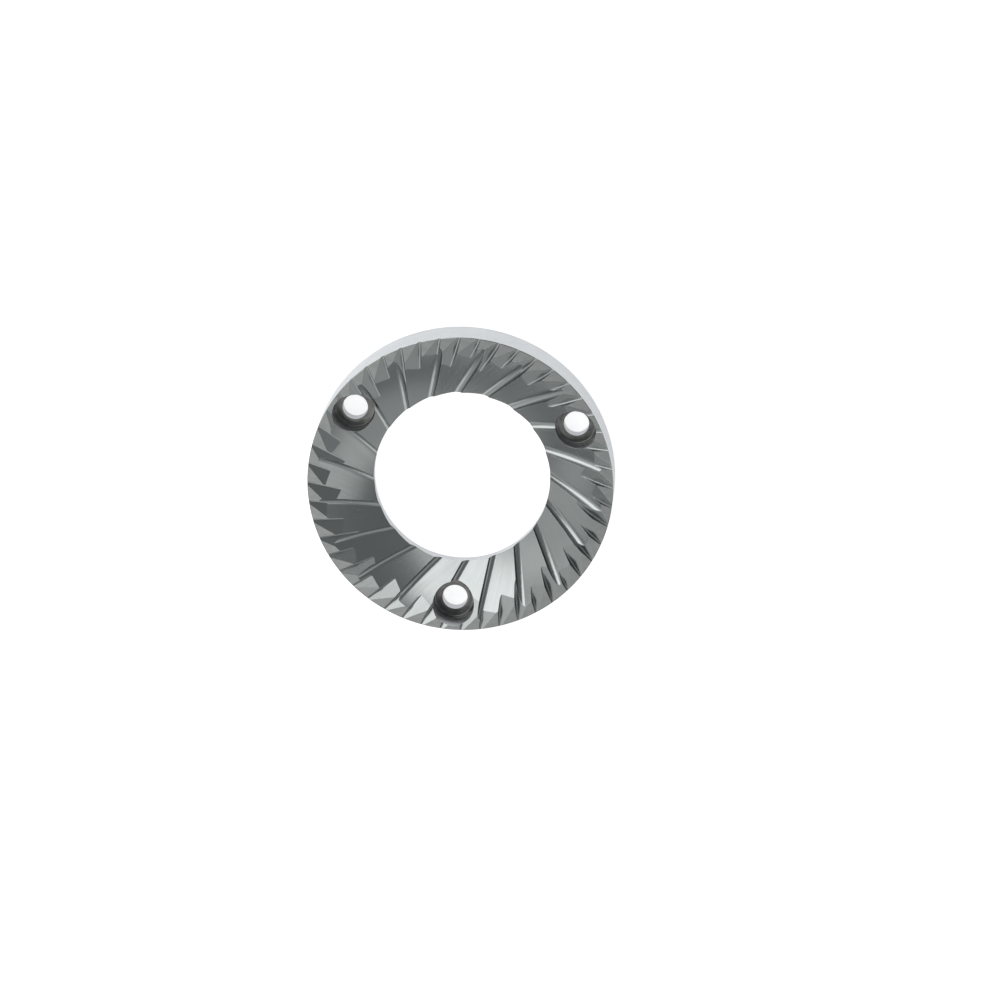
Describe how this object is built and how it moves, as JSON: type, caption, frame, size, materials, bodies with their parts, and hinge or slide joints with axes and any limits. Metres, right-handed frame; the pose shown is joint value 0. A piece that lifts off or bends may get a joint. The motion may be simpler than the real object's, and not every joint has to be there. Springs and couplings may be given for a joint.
{
  "type": "coffee grinder burr",
  "caption": "Flat burr ring for a coffee grinder: a dished face of swept breaking teeth and short finishing teeth, a wide bore, and counterbored screw holes through a plain back.",
  "frame": {"origin": "centre of the flat back face, on the ring's axis", "axes": "+Z along the ring's axis out of the grinding face, +Y through the middle between two of the screw holes, away from the third"},
  "size_m": [0.064, 0.064, 0.009],
  "materials": {
    "ground_steel": "satin, ground"
  },
  "bodies": {
    "root": {"grinding_burr": "ground_steel"}
  },
  "joints": []
}
